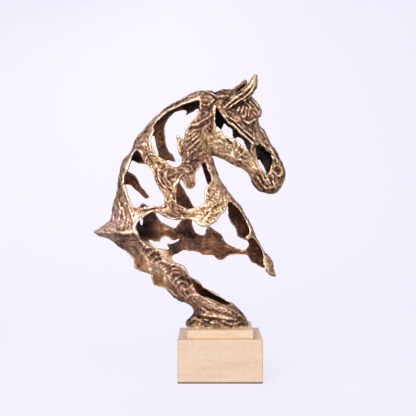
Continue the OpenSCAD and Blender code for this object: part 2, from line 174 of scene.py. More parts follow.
# Strokes on the near side of the neck and stalk
NEAR_STROKES = [
    ([(-55, 455), (-41, 457), (-32, 463), (-21, 469), (-10, 478)], 3.0, 2.2),
    ([(-54, 449), (-38, 451), (-28, 457), (-18, 462)], -2.2, 1.8),
    ([(-59, 428), (-50, 435), (-41, 443)], 2.0, 1.5),
    ([(-59, 420), (-48, 429), (-38, 438)], 2.2, 1.5),
    ([(-57, 412), (-46, 421), (-35, 431)], 2.0, 1.5),
    ([(-57, 436), (-49, 442), (-42, 449)], 1.8, 1.5),
    ([(-52, 405), (-42, 413), (-34, 422)], 1.6, 1.5),
    ([(-13, 468), (-15, 452), (-19, 440), (-24, 428), (-23, 417), (-25, 410)], -3.2, 2.4),
    ([(-36, 509), (-25, 518), (-14, 514), (-4, 508), (12, 509), (20, 504)], 2.2, 2.2),
    ([(-34, 495), (-24, 492), (-14, 498), (-8, 506)], 1.8, 2.0),
    ([(-28, 480), (-18, 478), (-12, 486)], 1.6, 2.2),
    ([(-178, 386), (-167, 397), (-155, 410)], 1.6, 2.4),
    ([(-178, 377), (-175, 360), (-177, 347), (-170, 335), (-163, 319), (-158, 312)], 2.0, 2.2),
    ([(-176, 313), (-178, 309)], -2.6, 4.0),
    ([(-107, 380), (-110, 364), (-100, 344), (-95, 331)], 2.2, 2.6),
    ([(-94, 377), (-97, 362), (-88, 350), (-86, 338)], 2.0, 2.4),
    ([(-67, 368), (-78, 352), (-84, 335)], 2.0, 2.2),
    ([(-103, 372), (-103, 356), (-94, 342)], -1.8, 1.8),
    ([(-157, 311), (-140, 305), (-120, 309), (-107, 311), (-95, 312)], 1.8, 2.2),
    ([(-144, 287), (-120, 302), (-100, 296), (-84, 288), (-67, 291)], 1.6, 2.0),
    ([(-144, 287), (-154, 275), (-149, 262), (-145, 253)], 2.0, 2.2),
    ([(-200, 272), (-184, 265), (-170, 263), (-155, 265)], 3.4, 4.0),
    ([(-190, 249), (-172, 247), (-155, 250)], -3.0, 5.0),
    ([(-149, 232), (-141, 233), (-134, 244)], 1.7, 2.4),
    ([(-138, 226), (-131, 236), (-120, 236)], 1.9, 2.0),
    ([(-130, 220), (-119, 230), (-113, 226)], 2.2, 2.6),
    ([(-124, 208), (-116, 217), (-101, 222)], 1.6, 2.0),
    ([(-114, 199), (-110, 210), (-96, 209)], 2.1, 2.7),
    ([(-106, 196), (-95, 198), (-84, 206)], 1.4, 1.8),
    ([(-101, 188), (-92, 195), (-77, 198)], 2.0, 2.4),
    ([(-92, 176), (-86, 189), (-70, 190)], 1.6, 2.8),
    ([(-84, 174), (-77, 181), (-63, 188)], 1.7, 1.8),
    ([(-80, 162), (-73, 174), (-58, 174)], 2.1, 2.5),
    ([(-66, 158), (-56, 162), (-48, 170)], 1.5, 2.0),
    ([(-62, 142), (-52, 151), (-40, 150)], 1.9, 2.6),
    ([(-100, 484), (-80, 496), (-60, 505), (-44, 508)], -2.6, 2.0),
    ([(-84, 486), (-66, 495), (-48, 500)], 2.2, 2.2),
    ([(-148, 430), (-134, 447), (-116, 464)], -2.4, 2.0),
    ([(-18, 514), (-8, 502), (-16, 494)], -2.2, 1.8),
    ([(-185, 324), (-180, 303), (-184, 282)], 2.2, 2.6),
    ([(-164, 308), (-156, 287), (-153, 266)], 2.2, 2.6),
    ([(-175, 314), (-169, 292), (-172, 268)], -2.6, 2.2),
    ([(-190, 296), (-192, 282), (-200, 274)], -2.0, 2.0),
    ([(-24, 144), (-3, 131), (24, 123), (42, 107)], 2.2, 3.0),
    ([(-40, 134), (-18, 123), (8, 118), (24, 112)], -2.4, 2.4),
    ([(-45, 123), (-24, 113), (3, 112), (29, 106)], 2.4, 2.8),
    ([(-53, 107), (-29, 106), (-8, 101)], 2.2, 2.4),
    ([(-46, 114), (-26, 104), (-10, 108)], -2.0, 2.0),
    ([(6, 104), (22, 99), (38, 102)], 2.0, 2.4),
    ([(-10, 127), (8, 126), (20, 118)], 1.6, 2.0),
]

# Folds of the sheet that the stalk's far side is made of, seen from its hollow side
HOLLOW_STROKES = [
    ([(-160, 232), (-153, 220), (-148, 206), (-150, 199)], 2.4, 4.0),
    ([(-150, 236), (-142, 224), (-136, 214), (-133, 204)], 2.0, 4.5),
    ([(-134, 214), (-128, 200), (-122, 190)], 2.2, 4.0),
    ([(-156, 226), (-147, 214), (-141, 204)], -0.9, 2.6),
    ([(-144, 214), (-136, 202), (-128, 200)], -0.9, 2.4),
    ([(-122, 206), (-112, 192), (-112, 176)], 2.2, 4.0),
    ([(-124, 196), (-116, 184), (-106, 170)], -0.9, 2.6),
    ([(-108, 190), (-100, 176), (-97, 164)], 2.0, 3.5),
    ([(-20, 262), (0, 240), (26, 226)], 1.4, 5.0), ([(-90, 262), (-60, 250), (-30, 246)], 1.2, 5.0)]


# ---------------------------------------------------------------- numeric helpers
def gauss(a, spread, axes=None):
    """a blurred by a Gaussian of that spread, in cells."""
    radius = max(1, int(math.ceil(spread * 2.6)))
    taps = np.exp(-0.5 * (np.arange(-radius, radius + 1) / spread) ** 2).astype(np.float32)
    taps /= taps.sum()
    for axis in axes if axes is not None else range(a.ndim):
        pad = [(radius, radius) if i == axis else (0, 0) for i in range(a.ndim)]
        wide = np.pad(a, pad, mode="edge")
        out = np.zeros_like(a)
        n = a.shape[axis]
        for i, w in enumerate(taps):
            out += w * wide[tuple(slice(i, i + n) if j == axis else slice(None) for j in range(a.ndim))]
        a = out
    return a


def smoothstep(lo, hi, v):
    t = np.clip((v - lo) / (hi - lo), 0, 1)
    return t * t * (3 - 2 * t)


LATTICE = np.random.default_rng(7).normal(size=(64, 64, 64, 3)).astype(np.float32)
TURN = np.array([[0.77, 0.32, -0.55], [-0.41, 0.91, -0.04], [0.49, 0.26, 0.83]], np.float32)


def noise(p, size, shift=0.0):
    """Smooth noise about 0 at points p (n, 3), with bumps about size apart."""
    q = p @ TURN / size + shift
    cell = np.floor(q).astype(np.int64)
    f = (q - cell).astype(np.float32)
    fade = f * f * f * (f * (6 * f - 15) + 10)
    out = np.zeros(len(p), np.float32)
    for i in (0, 1):
        for j in (0, 1):
            for k in (0, 1):
                w = (np.abs(1 - i - fade[:, 0]) * np.abs(1 - j - fade[:, 1]) * np.abs(1 - k - fade[:, 2]))
                g = LATTICE[(cell[:, 0] + i) & 63, (cell[:, 1] + j) & 63, (cell[:, 2] + k) & 63]
                out += w * ((f - np.array((i, j, k), np.float32)) * g).sum(1)
    return out


def warped(p, size, shift):
    """noise with its places pushed about, so that its creases wander."""
    push = np.stack([noise(p, 1.3 * size, shift + d) for d in (3.1, 7.7, 12.9)], -1)
    return noise(p + 0.6 * size * push, size, shift)


def sample(image, u, v):
    """Bilinear reading of a 2-D array at fractional cells u, v."""
    u = np.clip(u, 0, image.shape[0] - 1.001)
    v = np.clip(v, 0, image.shape[1] - 1.001)
    i, j = u.astype(np.int64), v.astype(np.int64)
    a, b = (u - i).astype(np.float32), (v - j).astype(np.float32)
    return ((1 - a) * (1 - b) * image[i, j] + a * (1 - b) * image[i + 1, j]
            + (1 - a) * b * image[i, j + 1] + a * b * image[i + 1, j + 1])


def bell(a, width):
    return np.exp(-(a / width) ** 2)


def read(field, p, start):
    """Trilinear reading of a 3-D field, whose first cell is start, at points p in mm."""
    q = np.clip(p / VOXEL - start, 0, np.array(field.shape) - 1.001)
    c = q.astype(np.int64)
    f = (q - c).astype(np.float32)
    out = np.zeros(len(p), np.float32)
    for i in (0, 1):
        for j in (0, 1):
            for k in (0, 1):
                w = np.abs(1 - i - f[:, 0]) * np.abs(1 - j - f[:, 1]) * np.abs(1 - k - f[:, 2])
                out += w * field[c[:, 0] + i, c[:, 1] + j, c[:, 2] + k]
    return out


def slope(field, p, start):
    """Unit direction in which the field grows at points p."""
    step = 0.6 * VOXEL
    g = np.stack([read(field, p + step * d, start) - read(field, p - step * d, start)
                  for d in np.eye(3, dtype=np.float32)], -1)
    return g / np.maximum(np.linalg.norm(g, axis=1, keepdims=True), 1e-6)


# ---------------------------------------------------------------- the grid round the bronze
def grid_round(names):
    """First cell, and number of cells each way, of a grid round the named nodes."""
    boxes = [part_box(name) for name in names]
    low = np.array([min(b[0][i] for b in boxes) for i in range(3)]) / MM - MARGIN
    high = np.array([max(b[1][i] for b in boxes) for i in range(3)]) / MM + MARGIN
    first = np.floor(low / VOXEL).astype(int)
    return first, tuple(np.ceil(high / VOXEL).astype(int) - first + 1)


FIRST, SHAPE = grid_round(BRONZE_NODES)
AXIS_X, AXIS_Y, AXIS_Z = ((FIRST[i] + np.arange(SHAPE[i])) * VOXEL for i in range(3))
FLAT_X, FLAT_Z = np.meshgrid(AXIS_X, AXIS_Z, indexing="ij")
FLAT = FLAT_X.shape
MIDDLE = int(np.argmin(np.abs(AXIS_Y)))
TRANSFORM = vdb.createLinearTransform(voxelSize=VOXEL)
REACH = BAND * VOXEL

# What the pieces are made from: the fields, each casting's own part, and the maps of its looks
Bronze = namedtuple("Bronze", "solid fine wide union second owner parts looks streaks outward")


# ---------------------------------------------------------------- the castings as one field
def level_set(points, faces, low, size):
    """Distance to a closed surface, in mm, in the block of cells that starts at low."""
    polygons = {"quads" if faces.shape[1] == 4 else "triangles": faces.astype(np.uint32)}
    grid = vdb.FloatGrid.createLevelSetFromPolygons(
        points.astype(np.float32), transform=TRANSFORM, halfWidth=float(BAND), **polygons)
    out = np.zeros(size, np.float32)
    grid.copyToArray(out, ijk=tuple(int(v) for v in low))
    return out


def surface(field, level, start):
    """Points in mm and quads of the surface where field, whose first cell is start, equals level."""
    grid = vdb.FloatGrid(REACH)
    grid.transform = TRANSFORM
    grid.copyFromArray(np.ascontiguousarray(field), ijk=tuple(int(v) for v in start))
    return grid.convertToQuads(isovalue=level)


def node_arrays(name):
    """Points in mm and triangles of a node of the frame."""
    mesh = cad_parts[name].data
    mesh.calc_loop_triangles()
    points = np.empty(len(mesh.vertices) * 3, np.float32)
    mesh.vertices.foreach_get("co", points)
    faces = np.empty(len(mesh.loop_triangles) * 3, np.int32)
    mesh.loop_triangles.foreach_get("vertices", faces)
    return points.reshape(-1, 3) / MM, faces.reshape(-1, 3)


def casting_fields():
    """Distance to the nearest casting and to the next, which is nearest, and each one's own.

    Each casting's own distances come with their first cell and the block of the grid they fill.
    """
    union = np.full(SHAPE, REACH, np.float32)
    second = np.full(SHAPE, REACH, np.float32)
    owner = np.full(SHAPE, -1, np.int16)
    parts = []
    for number, name in enumerate(BRONZE_NODES):
        points, faces = node_arrays(name)
        lo = np.maximum(np.floor(points.min(0) / VOXEL).astype(int) - BAND - 2 - FIRST, 0)
        hi = np.minimum(np.ceil(points.max(0) / VOXEL).astype(int) + BAND + 3 - FIRST, SHAPE)
        part = level_set(points, faces, lo + FIRST, tuple(hi - lo))
        block = tuple(slice(a, b) for a, b in zip(lo, hi))
        parts.append((lo, block, part))
        near, after = union[block], second[block]
        nearer = part < near
        after[...] = np.where(nearer, near, np.minimum(after, part))
        near[nearer] = part[nearer]
        owner[block][nearer] = number
    return union, second, owner, parts


def welded(union):
    """The castings as one solid: a surface a little outside them, measured and taken back in."""
    points, quads = surface(union, CLOSING, FIRST)
    solid = level_set(points, quads, FIRST, SHAPE) + CLOSING
    return gauss(solid, SMOOTHING / VOXEL) - THICKEN


# ---------------------------------------------------------------- maps over the x, z plane
def flow(mask):
    """Direction (x, z) along the strips of a flat mask, smooth from place to place."""
    soft = gauss(mask.astype(np.float32), FLOW_BLUR * 0.6 / VOXEL)
    gx, gz = np.gradient(soft)
    xx, xz, zz = (gauss(v, FLOW_BLUR / VOXEL) for v in (gx * gx, gx * gz, gz * gz))
    angle = 0.5 * np.arctan2(2 * xz, xx - zz) + math.pi / 2
    return np.cos(angle).astype(np.float32), np.sin(angle).astype(np.float32)


def grid_points(side):
    """The places of an x, z map as points, far from the middle plane on the given side."""
    p = np.stack([FLAT_X, np.full_like(FLAT_X, side * FAR_OFF), FLAT_Z], -1)
    return p.reshape(-1, 3).astype(np.float32)


def brushed(image, direction, length):
    """image smeared along the flow over that length in mm."""
    step = BRUSH_STEP / VOXEL
    n = max(1, int(length / 2 / BRUSH_STEP))
    u0, v0 = np.meshgrid(np.arange(SHAPE[0]), np.arange(SHAPE[2]), indexing="ij")
    total, weight = image.copy(), 1.0
    for sense in (1, -1):
        u, v = u0.astype(np.float32), v0.astype(np.float32)
        du, dv = sense * direction[0], sense * direction[1]
        for i in range(n):
            u, v = u + du * step, v + dv * step
            nu, nv = sample(direction[0], u, v), sample(direction[1], u, v)
            turn = np.where(nu * du + nv * dv < 0, -1, 1)
            du, dv = nu * turn, nv * turn
            w = 0.5 * (1 + math.cos(math.pi * (i + 1) / (n + 1)))
            total = total + w * sample(image, u, v)
            weight += w
    return total / weight


def carve(height, strokes, gain=1.0):
    """Adds strokes to a height map, in place, gain times as high as they are listed."""
    for path, rise, half_width in strokes:
        p = np.array(path, float)
        ends = np.vstack([2 * p[0] - p[1], p, 2 * p[-1] - p[-2]])
        t = np.linspace(0, 1, 12, endpoint=False)[:, None]
        line = [0.5 * (2 * b + (c - a) * t + (2 * a - 5 * b + 4 * c - d) * t ** 2
                       + (3 * b - a - 3 * c + d) * t ** 3)
                for a, b, c, d in zip(ends, ends[1:], ends[2:], ends[3:])]
        line = np.vstack(line + [p[-1:]])
        reach = 3 * half_width
        lo = np.maximum(np.floor((line.min(0) - reach) / VOXEL).astype(int) - FIRST[[0, 2]], 0)
        hi = np.ceil((line.max(0) + reach) / VOXEL).astype(int) - FIRST[[0, 2]] + 1
        hi = np.minimum(hi, height.shape)
        x, z = np.meshgrid(AXIS_X[lo[0]:hi[0]], AXIS_Z[lo[1]:hi[1]], indexing="ij")
        away = ((x[..., None] - line[:, 0]) ** 2 + (z[..., None] - line[:, 1]) ** 2)
        nearest = away.argmin(-1) / (len(line) - 1)
        taper = np.clip(4 * np.minimum(nearest, 1 - nearest) + 0.45, 0, 1)
        height[lo[0]:hi[0], lo[1]:hi[1]] += gain * rise * taper * np.exp(-away.min(-1) / half_width ** 2)


def spots(listed):
    """The listed round spots as one x, z map, with soft edges."""
    mask = np.zeros(FLAT, np.float32)
    for (px, pz), radius, strength in listed:
        away = np.hypot(FLAT_X - px, FLAT_Z - pz)
        mask = np.maximum(mask, strength * smoothstep(radius * 1.25, radius * 0.75, away))
    return mask


def wax(solid, side):
    """Heights in mm of the worked wax over one side, on the x, z grid, and its fine streaks."""
    half = solid[:, :MIDDLE] if side < 0 else solid[:, MIDDLE:]
    direction = flow((half < 0).any(1))
    p = grid_points(side)

    def plain(size, shift, kind=noise):
        out = kind(p, size, shift).reshape(FLAT)
        return out / out.std()

    def strokes(size, length, shift):
        out = brushed(plain(size, shift), direction, length)
        return out / out.std()

    def lines(gain, size, length, shift, width, patch_size, patch_shift):
        patches = smoothstep(-0.3, 0.6, plain(patch_size, patch_shift))
        return gain * bell(strokes(size, length, shift), width) * patches

    drawn = sum(gain * strokes(*layer) for gain, *layer in DRAWN)
    lumps = [gain * np.minimum(np.abs(plain(size, shift, warped)), top) for gain, size, shift, top in LUMPS]
    pebbles = sum(lumps + [gain * plain(*layer) for gain, *layer in GRIT]) - PEBBLE_FLOOR
    mask = spots(PEBBLED)
    height = (drawn + lines(*FOLDS) - lines(*CREASES)) * (1 - mask) + pebbles * mask
    height *= 1 - spots(CALM)
    carve(height, HEAD_STROKES)
    if side < 0:
        carve(height, NEAR_STROKES, NEAR_GAIN)
    streaks = strokes(*STREAKS) * (1 - 0.6 * mask)
    return RELIEF_LIMIT * np.tanh(height / RELIEF_LIMIT).astype(np.float32), streaks.astype(np.float32)


def folds_inside():
    """Heights in mm of the broad folds on the far wall's hollow side, on the x, z grid."""
    p = grid_points(1)
    (swell, *swell_noise), (bend, *bend_noise) = SWELLS, BENDS
    height = swell * noise(p, *swell_noise) + bend * np.abs(warped(p, *bend_noise))
    height = height.reshape(FLAT)
    carve(height, HOLLOW_STROKES)
    return height.astype(np.float32)


def two_sided(near_map, far_map, p):
    """Reading of two x, z maps, the near one where y is below 0 and the far one above."""
    u, v = p[:, 0] / VOXEL - FIRST[0], p[:, 2] / VOXEL - FIRST[2]
    w = smoothstep(-SIDE_BLEND, SIDE_BLEND, p[:, 1])
    return sample(near_map, u, v) * (1 - w) + sample(far_map, u, v) * w


def looks_of_side(parts, side):
    """The hollow, skin and mauve looks of the castings on one side, as x, z maps, with their painted shade,
    painted light and painted mauve reflection.
    """
    total = np.zeros((4, *FLAT), np.float32)
    for name, (lo, block, part) in zip(BRONZE_NODES, parts):
        cut = np.clip(MIDDLE - lo[1], 0, part.shape[1])
        half = part[:, :cut] if side < 0 else part[:, cut:]
        if half.shape[1] == 0:
            continue
        mask = (half < 0).any(1)
        for layer, value in zip(total, (*LOOKS.get(name, PLAIN_LOOK), 1.0)):
            layer[block[0], block[2]] += mask * value
    total = np.stack([gauss(layer, LOOK_BLUR / VOXEL) for layer in total])
    looks = total[:3] / np.maximum(total[3], 1e-4)
    # some of these patches are painted shade and painted light
    for patch_side, (px, pz), radius, change in TONE_AND_PAINTED_LIGHT_PATCHES:
        if patch_side == side:
            looks += bell(np.hypot(FLAT_X - px, FLAT_Z - pz), radius) * np.reshape(change, (3, 1, 1))
    return np.clip(looks, 0, 1).astype(np.float32)


def outward_maps(solid):
    """The x and z parts of the way out from the bronze, strong only near its outline."""
    soft = gauss((solid < 0).any(1).astype(np.float32), OUTLINE_BLUR / VOXEL)
    out_x, out_z = (-v for v in np.gradient(soft))
    top = np.sqrt(out_x ** 2 + out_z ** 2).max()
    return out_x / top * OUTLINE_GAIN, out_z / top * OUTLINE_GAIN


def outerness(p, n, outward):
    """1 where a surface with normal n at p looks outwards, 0 where it looks into the hollow."""
    u, v = p[:, 0] / VOXEL - FIRST[0], p[:, 2] / VOXEL - FIRST[2]
    sideways = n[:, 1] * np.clip(p[:, 1] / 10, -1, 1)
    rim = n[:, 0] * sample(outward[0], u, v) + n[:, 2] * sample(outward[1], u, v)
    return smoothstep(-0.35, 0.35, sideways + rim)


def press_relief(solid, near_relief, far_relief, inside_relief, outward):
    """Presses the relief into the field, in place, in the cells next to the surface."""
    gradient = np.gradient(solid)
    cells = np.nonzero(np.abs(solid) < SKIN_DEPTH)
    n = np.stack([g[cells] for g in gradient], -1)
    del gradient
    n /= np.maximum(np.linalg.norm(n, axis=1, keepdims=True), 1e-6)
    p = np.stack([AXIS_X[cells[0]], AXIS_Y[cells[1]], AXIS_Z[cells[2]]], -1).astype(np.float32)
    skin_share = outerness(p, n, outward)
    gain, size, shift = GRAIN
    skin = two_sided(near_relief, far_relief, p) + gain * noise(p, size, shift)
    inside = two_sided(np.zeros_like(inside_relief), inside_relief, p)
    solid[cells] -= skin * skin_share + inside * (1 - skin_share)


def worked_bronze():
    """The welded bronze with its relief, and everything that its pieces are cut and dressed from."""
    union, second, owner, parts = casting_fields()
    solid = welded(union)
    (near_relief, near_streaks), (far_relief, far_streaks) = wax(solid, -1), wax(solid, 1)
    looks = looks_of_side(parts, -1), looks_of_side(parts, 1)
    outward = outward_maps(solid)
    press_relief(solid, near_relief, far_relief, folds_inside(), outward)
    fine, wide = gauss(solid, FINE_SCALE / VOXEL), gauss(solid, WIDE_SCALE / VOXEL)
    return Bronze(solid, fine, wide, union, second, owner, parts, looks, (near_streaks, far_streaks), outward)


# ---------------------------------------------------------------- materials
def node_material(name):
    material = bpy.data.materials.new(name)
    material.use_nodes = True
    tree = material.node_tree
    return material, tree, tree.nodes["Principled BSDF"]


def add(tree, kind, **inputs):
    made = tree.nodes.new(kind)
    for key, value in inputs.items():
        made.inputs[key.replace("_", " ")].default_value = value
    return made


def attribute(tree, name):
    made = tree.nodes.new("ShaderNodeAttribute")
    made.attribute_name = name
    return made.outputs["Fac"]


def ramp(tree, source, stops):
    made = tree.nodes.new("ShaderNodeValToRGB")
    points = made.color_ramp.elements
    while len(points) < len(stops):
        points.new(0.5)
    for point, (place, colour) in zip(points, stops):
        point.position = place
        point.color = (*colour, 1)
    tree.links.new(source, made.inputs["Fac"])
    return made.outputs["Color"]


def mix(tree, amount, a, b, kind="MIX"):
    made = tree.nodes.new("ShaderNodeMix")
    made.data_type = "RGBA"
    made.blend_type = kind
    for source, socket in ((amount, made.inputs[0]), (a, made.inputs[6]), (b, made.inputs[7])):
        if isinstance(source, bpy.types.NodeSocket):
            tree.links.new(source, socket)
        else:
            socket.default_value = source
    return made.outputs[2]


def math_node(tree, kind, a, b=0.0):
    made = tree.nodes.new("ShaderNodeMath")
    made.operation = kind
    for source, socket in ((a, made.inputs[0]), (b, made.inputs[1])):
        if isinstance(source, bpy.types.NodeSocket):
            tree.links.new(source, socket)
        else:
            socket.default_value = source
    return made.outputs[0]


def bronze_material():
    material, tree, shader = node_material("bronze_patina_and_painted_light")
    place = tree.nodes.new("ShaderNodeTexCoord").outputs["Object"]
    grain = add(tree, "ShaderNodeTexNoise", Scale=420.0, Detail=5.0, Roughness=0.65)
    cloud = add(tree, "ShaderNodeTexNoise", Scale=38.0, Detail=5.0, Roughness=0.6)
    for made in (grain, cloud):
        tree.links.new(place, made.inputs["Vector"])

    def centred(source, gain):
        return math_node(tree, "MULTIPLY", math_node(tree, "SUBTRACT", source, 0.5), gain)

    def total(first_term, *terms):
        for term in terms:
            first_term = math_node(tree, "ADD", first_term, term)
        return first_term

    ridge, edge, outer = (attribute(tree, key) for key in ("ridge", "edge", "outer"))
    # wear of ridges and edges, random streaks and mottling, and the skin's tone, which holds painted shade on
    # the shoulder's under-facet
    wear_tone_and_shade = total(ridge, centred(attribute(tree, "skin"), 0.9), centred(attribute(tree, "streak"), 0.5),
                 centred(grain.outputs["Fac"], 0.5), centred(cloud.outputs["Fac"], 0.6),
                 centred(edge, 0.45))
    skin = ramp(tree, wear_tone_and_shade, [
        (0.05, (0.022, 0.010, 0.008)), (0.28, (0.095, 0.042, 0.026)), (0.46, (0.25, 0.135, 0.071)),
        (0.62, (0.46, 0.282, 0.152)), (0.78, (0.72, 0.495, 0.295)), (0.95, (0.90, 0.71, 0.49))])
    mauve = ramp(tree, wear_tone_and_shade, [
        (0.05, (0.028, 0.013, 0.013)), (0.35, (0.19, 0.084, 0.078)), (0.62, (0.52, 0.29, 0.25)),
        (0.95, (0.92, 0.66, 0.57))])
    # the mauve mixed in here is partly the patina's purple tint and partly a painted reflection of the pale
    # lavender room
    mauve_tint_and_reflection_share = math_node(tree, "MULTIPLY", attribute(tree, "mauve"),
                     ramp(tree, cloud.outputs["Fac"], [(0.35, (0.2, 0.2, 0.2)), (0.6, (1.5, 1.5, 1.5))]))
    skin = mix(tree, mauve_tint_and_reflection_share, skin, mauve)
    blotch = add(tree, "ShaderNodeTexNoise", Scale=110.0, Detail=4.0, Roughness=0.6, Distortion=0.8)
    tree.links.new(place, blotch.inputs["Vector"])
    # the hollow side's tone is its patina with painted shade, near black where the inside lies in shadow
    hollow_tone_and_shade = total(attribute(tree, "hollow"), centred(cloud.outputs["Fac"], 0.4), centred(edge, 0.35),
                  centred(ridge, 0.35), centred(attribute(tree, "streak"), 0.25),
                  centred(blotch.outputs["Fac"], 0.6), centred(grain.outputs["Fac"], 0.3))
    hollow = ramp(tree, hollow_tone_and_shade, [
        (0.02, (0.010, 0.006, 0.005)), (0.22, (0.050, 0.021, 0.015)), (0.42, (0.145, 0.055, 0.027)),
        (0.60, (0.31, 0.138, 0.064)), (0.80, (0.58, 0.36, 0.215)), (1.0, (0.80, 0.57, 0.39))])
    tree.links.new(mix(tree, outer, hollow, skin), shader.inputs["Base Color"])
    rough = mix(tree, wear_tone_and_shade, (0.55, 0.55, 0.55, 1), (0.36, 0.36, 0.36, 1))
    tree.links.new(rough, shader.inputs["Roughness"])
    shader.inputs["Metallic"].default_value = 0.65
    bump = add(tree, "ShaderNodeBump", Strength=0.35, Distance=0.0008)
    tree.links.new(grain.outputs["Fac"], bump.inputs["Height"])
    tree.links.new(bump.outputs["Normal"], shader.inputs["Normal"])
    return material


def stone_material():
    material, tree, shader = node_material("travertine")
    place = tree.nodes.new("ShaderNodeTexCoord").outputs["Object"]
    bands = tree.nodes.new("ShaderNodeMapping")
    bands.inputs["Rotation"].default_value = (0.3, -0.22, 0.1)
    bands.inputs["Scale"].default_value = (5.0, 5.0, 42.0)
    tree.links.new(place, bands.inputs["Vector"])
    veins = add(tree, "ShaderNodeTexNoise", Scale=2.2, Detail=9.0, Roughness=0.68, Distortion=0.9)
    tree.links.new(bands.outputs["Vector"], veins.inputs["Vector"])
    grain = add(tree, "ShaderNodeTexNoise", Scale=230.0, Detail=5.0, Roughness=0.75)
    pits = add(tree, "ShaderNodeTexNoise", Scale=520.0, Detail=2.0, Roughness=0.5)
    for made in (grain, pits):
        tree.links.new(place, made.inputs["Vector"])
    base = ramp(tree, veins.outputs["Fac"], [
        (0.28, (0.63, 0.455, 0.305)), (0.45, (0.695, 0.52, 0.37)), (0.60, (0.725, 0.555, 0.41)),
        (0.80, (0.75, 0.59, 0.445))])
    fine = ramp(tree, grain.outputs["Fac"], [
        (0.30, (0.84, 0.82, 0.80)), (0.50, (0.97, 0.97, 0.96)), (0.70, (1.0, 1.0, 1.0))])
    speck = ramp(tree, pits.outputs["Fac"], [(0.24, (0.62, 0.56, 0.50)), (0.34, (1.0, 1.0, 1.0))])
    for layer in (fine, speck):
        base = mix(tree, 1.0, base, layer, "MULTIPLY")
    tree.links.new(base, shader.inputs["Base Color"])
    shader.inputs["Roughness"].default_value = 0.42
    bump = add(tree, "ShaderNodeBump", Strength=0.15, Distance=0.0005)
    tree.links.new(pits.outputs["Fac"], bump.inputs["Height"])
    tree.links.new(bump.outputs["Normal"], shader.inputs["Normal"])
    return material


def felt_material():
    material, tree, shader = node_material("wool_felt")
    place = tree.nodes.new("ShaderNodeTexCoord").outputs["Object"]
    fibres = add(tree, "ShaderNodeTexNoise", Scale=900.0, Detail=4.0)
    tree.links.new(place, fibres.inputs["Vector"])
    tree.links.new(ramp(tree, fibres.outputs["Fac"], [
        (0.3, (0.075, 0.062, 0.052)), (0.7, (0.17, 0.145, 0.125))]), shader.inputs["Base Color"])
    shader.inputs["Roughness"].default_value = 0.95
    bump = add(tree, "ShaderNodeBump", Strength=0.5, Distance=0.0004)
    tree.links.new(fibres.outputs["Fac"], bump.inputs["Height"])
    tree.links.new(bump.outputs["Normal"], shader.inputs["Normal"])
    return material


def steel_material():
    material, tree, shader = node_material("zinc_plated_steel")
    place = tree.nodes.new("ShaderNodeTexCoord").outputs["Object"]
    mottle = add(tree, "ShaderNodeTexNoise", Scale=400.0, Detail=3.0)
    tree.links.new(place, mottle.inputs["Vector"])
    tree.links.new(ramp(tree, mottle.outputs["Fac"], [
        (0.3, (0.50, 0.50, 0.50)), (0.7, (0.66, 0.66, 0.64))]), shader.inputs["Base Color"])
    shader.inputs["Metallic"].default_value = 1.0
    shader.inputs["Roughness"].default_value = 0.35
    return material


# ---------------------------------------------------------------- the bronze pieces
def without_specks(points, quads):
    """The surface without its closed crumbs of fewer than SPECK points."""
    label = np.arange(len(points))
    edges = np.concatenate([quads[:, [i, (i + 1) % 4]] for i in range(4)])
    for _ in range(SPECK_ROUNDS):
        lower = np.minimum(label[edges[:, 0]], label[edges[:, 1]])
        np.minimum.at(label, edges[:, 0], lower)
        np.minimum.at(label, edges[:, 1], lower)
        label = label[label]
    count = np.bincount(label, minlength=len(points))
    crumb = count < SPECK
    uneven = label[edges[:, 0]] != label[edges[:, 1]]
    crumb[label[edges[uneven].ravel()]] = False
    keep = ~crumb[label]
    renumber = np.cumsum(keep) - 1
    return points[keep], renumber[quads[keep[quads[:, 0]]]]


def crossed(field, p, start):
    """Whether the field changes sign within the cell that each point lies in."""
    c = np.clip(np.floor(p / VOXEL).astype(np.int64) - start, 0, np.array(field.shape) - 2)
    corners = [(i, j, k) for i in (0, 1) for j in (0, 1) for k in (0, 1)]
    count = sum((field[c[:, 0] + i, c[:, 1] + j, c[:, 2] + k] < 0).astype(int) for i, j, k in corners)
    return (count > 0) & (count < 8)


def to_corner(points, solid, seam, start):
    """Moves the points on the rim of a seam to where the seam meets the skin, so it shows no groove."""
    rim = crossed(solid, points, FIRST) & crossed(seam, points, start)
    p, begun = points[rim], points[rim]
    for _ in range(SEAM_STEPS):
        for field, corner in ((seam, start), (solid, FIRST)):
            p = p - read(field, p, corner)[:, None] * slope(field, p, corner)
    near = np.linalg.norm(p - begun, axis=1) < SEAM_REACH * VOXEL
    points[rim] = np.where(near[:, None], p, begun)


def worn_and_painted_light_values(bronze, points, skin_normal):
    """What the bronze material reads at each point: relief, side, streaks and looks, with their painted
    shade, light and reflection.
    """
    raised = read(bronze.fine, points, FIRST) - FINE_BIAS
    exposed = read(bronze.wide, points, FIRST) - WIDE_BIAS
    values = {
        "ridge": np.clip(0.5 + raised * FINE_GAIN, 0, 1),
        "edge": np.clip(0.5 + exposed * WIDE_GAIN, 0, 1),
        "outer": outerness(points, skin_normal, bronze.outward),
        "streak": np.clip(0.5 + 0.2 * two_sided(*bronze.streaks, points), 0, 1),
    }
    for key, near_map, far_map in zip(("hollow", "skin", "mauve"), *bronze.looks):
        values[key] = two_sided(near_map, far_map, points)
    return values


def facing_out(points, quads, normal):
    """The quads, turned round if they face against the normals."""
    corner = points[quads[:400]]
    facing = np.cross(corner[:, 2] - corner[:, 0], corner[:, 3] - corner[:, 1])
    return quads[:, ::-1] if (facing * normal[quads[:400, 0]]).sum() < 0 else quads


